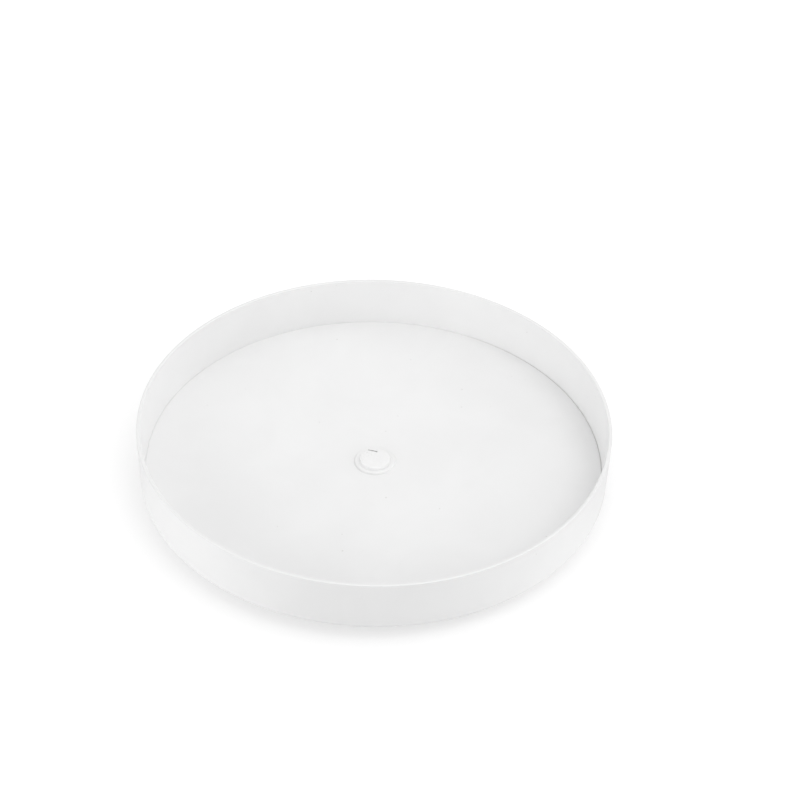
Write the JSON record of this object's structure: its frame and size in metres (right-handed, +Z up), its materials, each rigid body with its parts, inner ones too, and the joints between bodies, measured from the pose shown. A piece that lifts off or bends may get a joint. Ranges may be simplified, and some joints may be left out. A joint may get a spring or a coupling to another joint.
{
  "type": "turntable tray",
  "caption": "Shallow round white plastic tray with a low wall that spins on a slim ball-bearing base, for keeping jars and bottles in reach.",
  "frame": {"origin": "on the surface it stands on, under the spin axis", "axes": "+Z up along the spin axis; X and Y lie in the plane of the tray"},
  "size_m": [0.17, 0.17, 0.0262],
  "materials": {
    "tray_plastic": "satin white injection-moulded polypropylene",
    "base_plastic": "satin white injection-moulded polypropylene",
    "cage_plastic": "natural acetal",
    "ball_steel": "polished bearing steel",
    "zinc_steel": "bright zinc plate",
    "pad_rubber": "soft matt grey"
  },
  "bodies": {
    "base": {"base_plate": "base_plastic", "foot_pad_1": "pad_rubber", "foot_pad_2": "pad_rubber", "foot_pad_3": "pad_rubber", "foot_pad_4": "pad_rubber", "foot_pad_5": "pad_rubber", "foot_pad_6": "pad_rubber"},
    "tray": {"tray": "tray_plastic", "pivot_screw": "zinc_steel", "pivot_washer": "zinc_steel"},
    "cage": {"ball_cage": "cage_plastic"},
    "ball_01": {"ball_01": "ball_steel"},
    "ball_02": {"ball_02": "ball_steel"},
    "ball_03": {"ball_03": "ball_steel"},
    "ball_04": {"ball_04": "ball_steel"},
    "ball_05": {"ball_05": "ball_steel"},
    "ball_06": {"ball_06": "ball_steel"},
    "ball_07": {"ball_07": "ball_steel"},
    "ball_08": {"ball_08": "ball_steel"},
    "ball_09": {"ball_09": "ball_steel"},
    "ball_10": {"ball_10": "ball_steel"},
    "ball_11": {"ball_11": "ball_steel"},
    "ball_12": {"ball_12": "ball_steel"},
    "ball_13": {"ball_13": "ball_steel"},
    "ball_14": {"ball_14": "ball_steel"},
    "ball_15": {"ball_15": "ball_steel"},
    "ball_16": {"ball_16": "ball_steel"}
  },
  "joints": [
    {"name": "tray_spin", "type": "hinge", "parent": "base", "child": "tray", "pos_m": [0, 0, 0.0062], "axis": [0, 0, 1], "continuous": true},
    {"name": "cage_orbit", "type": "hinge", "parent": "base", "child": "cage", "pos_m": [0, 0, 0.0044], "axis": [0, 0, 1], "continuous": true},
    {"name": "ball_01_roll", "type": "hinge", "parent": "cage", "child": "ball_01", "pos_m": [0.05, 0, 0.0044], "axis": [1, 0, 0], "continuous": true},
    {"name": "ball_02_roll", "type": "hinge", "parent": "cage", "child": "ball_02", "pos_m": [0.04619, 0.01913, 0.0044], "axis": [0.9239, 0.3827, 0], "continuous": true},
    {"name": "ball_03_roll", "type": "hinge", "parent": "cage", "child": "ball_03", "pos_m": [0.03536, 0.03536, 0.0044], "axis": [0.7071, 0.7071, 0], "continuous": true},
    {"name": "ball_04_roll", "type": "hinge", "parent": "cage", "child": "ball_04", "pos_m": [0.01913, 0.04619, 0.0044], "axis": [0.3827, 0.9239, 0], "continuous": true},
    {"name": "ball_05_roll", "type": "hinge", "parent": "cage", "child": "ball_05", "pos_m": [0, 0.05, 0.0044], "axis": [0, 1, 0], "continuous": true},
    {"name": "ball_06_roll", "type": "hinge", "parent": "cage", "child": "ball_06", "pos_m": [-0.01913, 0.04619, 0.0044], "axis": [-0.3827, 0.9239, 0], "continuous": true},
    {"name": "ball_07_roll", "type": "hinge", "parent": "cage", "child": "ball_07", "pos_m": [-0.03536, 0.03536, 0.0044], "axis": [-0.7071, 0.7071, 0], "continuous": true},
    {"name": "ball_08_roll", "type": "hinge", "parent": "cage", "child": "ball_08", "pos_m": [-0.04619, 0.01913, 0.0044], "axis": [-0.9239, 0.3827, 0], "continuous": true},
    {"name": "ball_09_roll", "type": "hinge", "parent": "cage", "child": "ball_09", "pos_m": [-0.05, 0, 0.0044], "axis": [-1, 0, 0], "continuous": true},
    {"name": "ball_10_roll", "type": "hinge", "parent": "cage", "child": "ball_10", "pos_m": [-0.04619, -0.01913, 0.0044], "axis": [-0.9239, -0.3827, 0], "continuous": true},
    {"name": "ball_11_roll", "type": "hinge", "parent": "cage", "child": "ball_11", "pos_m": [-0.03536, -0.03536, 0.0044], "axis": [-0.7071, -0.7071, 0], "continuous": true},
    {"name": "ball_12_roll", "type": "hinge", "parent": "cage", "child": "ball_12", "pos_m": [-0.01913, -0.04619, 0.0044], "axis": [-0.3827, -0.9239, 0], "continuous": true},
    {"name": "ball_13_roll", "type": "hinge", "parent": "cage", "child": "ball_13", "pos_m": [0, -0.05, 0.0044], "axis": [0, -1, 0], "continuous": true},
    {"name": "ball_14_roll", "type": "hinge", "parent": "cage", "child": "ball_14", "pos_m": [0.01913, -0.04619, 0.0044], "axis": [0.3827, -0.9239, 0], "continuous": true},
    {"name": "ball_15_roll", "type": "hinge", "parent": "cage", "child": "ball_15", "pos_m": [0.03536, -0.03536, 0.0044], "axis": [0.7071, -0.7071, 0], "continuous": true},
    {"name": "ball_16_roll", "type": "hinge", "parent": "cage", "child": "ball_16", "pos_m": [0.04619, -0.01913, 0.0044], "axis": [0.9239, -0.3827, 0], "continuous": true}
  ],
  "couplings": [
    {"joint": "cage_orbit", "follows": "tray_spin", "ratio": 0.5},
    {"joint": "ball_01_roll", "follows": "tray_spin", "ratio": -14.286},
    {"joint": "ball_02_roll", "follows": "tray_spin", "ratio": -14.286},
    {"joint": "ball_03_roll", "follows": "tray_spin", "ratio": -14.286},
    {"joint": "ball_04_roll", "follows": "tray_spin", "ratio": -14.286},
    {"joint": "ball_05_roll", "follows": "tray_spin", "ratio": -14.286},
    {"joint": "ball_06_roll", "follows": "tray_spin", "ratio": -14.286},
    {"joint": "ball_07_roll", "follows": "tray_spin", "ratio": -14.286},
    {"joint": "ball_08_roll", "follows": "tray_spin", "ratio": -14.286},
    {"joint": "ball_09_roll", "follows": "tray_spin", "ratio": -14.286},
    {"joint": "ball_10_roll", "follows": "tray_spin", "ratio": -14.286},
    {"joint": "ball_11_roll", "follows": "tray_spin", "ratio": -14.286},
    {"joint": "ball_12_roll", "follows": "tray_spin", "ratio": -14.286},
    {"joint": "ball_13_roll", "follows": "tray_spin", "ratio": -14.286},
    {"joint": "ball_14_roll", "follows": "tray_spin", "ratio": -14.286},
    {"joint": "ball_15_roll", "follows": "tray_spin", "ratio": -14.286},
    {"joint": "ball_16_roll", "follows": "tray_spin", "ratio": -14.286}
  ]
}
